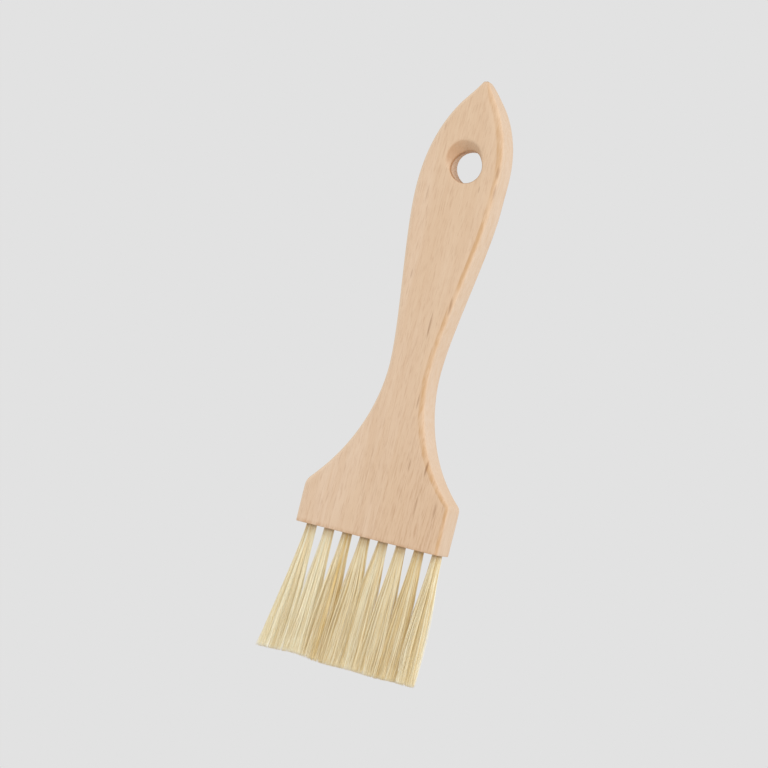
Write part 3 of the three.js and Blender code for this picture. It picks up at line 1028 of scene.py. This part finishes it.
def cut_wood_colour(n, at, grain, base):
    """The sawn end and its edge, the hanging hole's brown of painted shade and drilled wood, and the wall
    along the right side with a painted sheen.
    """
    end_noise = n.noise(n.stretched(at.place, (1.1, 3, 3), place=(4, 1, 8)), 2.0)
    above_end = n.math("SUBTRACT", at.along, (END_Y + 0.1) * MM)
    end_edge = n.times(n.ramp(above_end, 0.0013, 0.0), n.ramp(end_noise, 0.25, 0.75))
    base = n.tint(base, end_edge, 0.5, BEECH_SAWN_EDGE)
    # painted shade in the hanging hole and the tuft holes, over the drilled wood's own brown
    base = n.mix(at.bore, base, BEECH_BORE)
    end_base = n.mix(n.ramp(grain.rings, 0.35, 0.65), BEECH_RING_PALE, BEECH_RING_DARK)
    end_base = n.tint(end_base, n.ramp(grain.pores, 0.55, 0.72), 0.6, BEECH_PORE)
    base = n.mix(at.end_grain, base, end_base)
    # painted sheen: the right wall paler and cooler, as light from the right falls on it
    base = n.tint(base, at.right_wall, 0.34, BEECH_SIDE_SHEEN)
    wall_streaks = n.times(n.ramp(grain.streaks, 0.42, 0.66), at.right_wall)
    return n.tint(base, wall_streaks, 0.3, BEECH_SIDE_STREAK)


def beech_material():
    material, n, shader = new_material("beech")
    at = board_places(n)
    grain = grain_patterns(n, at.place)
    base = long_grain_colour(n, at, grain)
    base = worn_and_lit_edge_colour(n, at, base)
    base = n.mix(grain.spots, base, BEECH_SPOT)
    base = cut_wood_colour(n, at, grain, base)
    roughness = n.math("ADD", 0.52, n.times(grain.fibre, 0.22))
    relief = n.math("ADD", n.times(grain.fibre, 0.6), n.times(grain.flecks, -0.3))
    relief = n.math("ADD", relief, n.times(grain.spots, -0.5))
    relief = n.math("SUBTRACT", relief, n.times(n.times(grain.pores, at.end_grain), 0.8))
    n.surface(shader, base, roughness, relief, 0.5, 0.06)
    shader.inputs["Specular IOR Level"].default_value = 0.3
    return material


# Painted light: a faint glow of the bristles' own colour stands in for the light that real bristles pass on
# to each other inside a tuft.
PAINTED_BRISTLE_GLOW = 0.10


def bristle_material():
    material, n, shader = new_material("bristle")
    place = n.add("ShaderNodeTexCoord").outputs["Object"]
    along = n.value("along")
    drift = n.noise(n.stretched(place, (0.6, 9, 0.6)), 2.0)
    drifting = n.times(n.math("SUBTRACT", drift, 0.5), 0.8)
    level = n.math("ADD", n.value("tone"), drifting, clamp=True)
    base = n.mix(level, BRISTLE_DARK, BRISTLE_PALE)
    # painted shade: the hairs darken towards the mouths of their holes, where the wood shades them
    base = n.tint(base, n.ramp(along, 0.09, 0.0), 0.26, BRISTLE_ROOT_SHADE)
    base = n.tint(base, n.ramp(along, 0.03, 0.0), 0.6, BRISTLE_MOUTH_SHADE)
    # painted shade along the trimmed ends of the hairs
    base = n.tint(base, n.ramp(along, 0.985, 1.0), 0.4, BRISTLE_CUT_SHADE)
    scales = n.noise(n.stretched(place, (0.05, 0.35, 0.05)), 2.0)
    n.surface(shader, base, n.math("ADD", 0.38, n.times(scales, 0.2)), scales, 0.3, 0.01)
    shader.inputs["Specular IOR Level"].default_value = 0.4
    # painted light: the bristles glow faintly in their own colour
    n.feed(shader.inputs["Emission Color"], base)
    shader.inputs["Emission Strength"].default_value = PAINTED_BRISTLE_GLOW
    return material


def anchor_material():
    material, n, shader = new_material("anchor_metal")
    place = n.add("ShaderNodeTexCoord").outputs["Object"]
    drawn = n.noise(n.stretched(place, (0.05, 0.05, 2.0)), 3.0)
    base = n.mix(n.ramp(drawn, 0.3, 0.7), METAL_BRIGHT, METAL_DULL)
    n.surface(shader, base, n.math("ADD", 0.28, n.times(drawn, 0.25)), drawn, 0.3, 0.01)
    shader.inputs["Metallic"].default_value = 1.0
    return material


# ---------------------------------------------------------------- studio
BACKDROP_LEVEL = 0.7605
FLOOR_DROP = 0.12
FLOOR_HALF = 20.0
KEY_DIRECTION = (0.76, 0.345, 0.55)
KEY_DISTANCE = 1.2
KEY_SIZE = 0.9
KEY_POWER = 7.8
KEY_COLOUR = (0.95, 1.0, 1.08)


def build_floor():
    material = bpy.data.materials.new("studio_floor")
    material.use_nodes = True
    material.node_tree.nodes.clear()
    n = Nodes(material.node_tree)
    glow = n.add("ShaderNodeEmission", {"Color": (1, 1, 1, 1), "Strength": BACKDROP_LEVEL})
    output = n.add("ShaderNodeOutputMaterial")
    n.feed(output.inputs["Surface"], glow.outputs[0])
    mesh = bpy.data.meshes.new("studio_floor")
    sides = ((-1, -1), (1, -1), (1, 1), (-1, 1))
    corners = [(x * FLOOR_HALF, y * FLOOR_HALF, -FLOOR_DROP) for x, y in sides]
    mesh.from_pydata(corners, [], [(0, 1, 2, 3)])
    floor = bpy.data.objects.new("studio_floor", mesh)
    bpy.context.scene.collection.objects.link(floor)
    floor.data.materials.append(material)


def build_world():
    world = bpy.data.worlds.new("studio_world")
    world.use_nodes = True
    background = world.node_tree.nodes["Background"]
    background.inputs["Color"].default_value = (1, 1, 1, 1)
    background.inputs["Strength"].default_value = BACKDROP_LEVEL
    bpy.context.scene.world = world


def add_key_light():
    """A square soft light that shines on the middle of the brush from the upper right."""
    light = bpy.data.lights.new("key_light", "AREA")
    light.shape = "SQUARE"
    light.size = KEY_SIZE
    light.energy = KEY_POWER
    light.color = KEY_COLOUR
    obj = bpy.data.objects.new("key_light", light)
    bpy.context.scene.collection.objects.link(obj)
    middle = (CAD_BOUNDS[0] + CAD_BOUNDS[1]) / 2
    away = Vector(KEY_DIRECTION).normalized()
    obj.location = middle + away * KEY_DISTANCE
    obj.rotation_euler = (-away).to_track_quat("-Z", "Y").to_euler()


# The view: a long lens a metre away, turned towards the brush's right side, with the brush leaning right.
VIEW_DISTANCE = 1.0
VIEW_SIDE_ANGLE = math.radians(22)
VIEW_ROLL = math.radians(14)
VIEW_TARGET = Vector((-6.49, 38.76, 11.0)) * MM
VIEW_WIDTH = 0.244
SENSOR_WIDTH = 36.0


def build_camera():
    data = bpy.data.cameras.new("view")
    data.sensor_width = SENSOR_WIDTH
    data.lens = SENSOR_WIDTH * VIEW_DISTANCE / VIEW_WIDTH
    data.clip_start = 0.01
    data.clip_end = 100
    camera = bpy.data.objects.new("view", data)
    bpy.context.scene.collection.objects.link(camera)
    back = Vector((math.sin(VIEW_SIDE_ANGLE), 0, math.cos(VIEW_SIDE_ANGLE)))
    level_right = Vector((math.cos(VIEW_SIDE_ANGLE), 0, -math.sin(VIEW_SIDE_ANGLE)))
    level_up = Vector((0, 1, 0))
    right = level_right * math.cos(VIEW_ROLL) + level_up * math.sin(VIEW_ROLL)
    up = level_up * math.cos(VIEW_ROLL) - level_right * math.sin(VIEW_ROLL)
    turn = Matrix((right, up, back)).transposed().to_4x4()
    camera.matrix_world = Matrix.Translation(VIEW_TARGET + back * VIEW_DISTANCE) @ turn
    bpy.context.scene.camera = camera


def build_studio():
    build_floor()
    build_world()
    add_key_light()
    build_camera()
    bpy.context.scene.view_settings.view_transform = "Standard"


# ---------------------------------------------------------------- the brush
beech = beech_material()
bristle = bristle_material()
anchor_metal = anchor_material()

build_handle(beech)
for tuft_index in range(TUFT_COUNT):
    build_tuft(tuft_index, bristle)
    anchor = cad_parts[f"anchor_{tuft_index + 1}"]
    anchor.data.materials.clear()
    anchor.data.materials.append(anchor_metal)
build_studio()
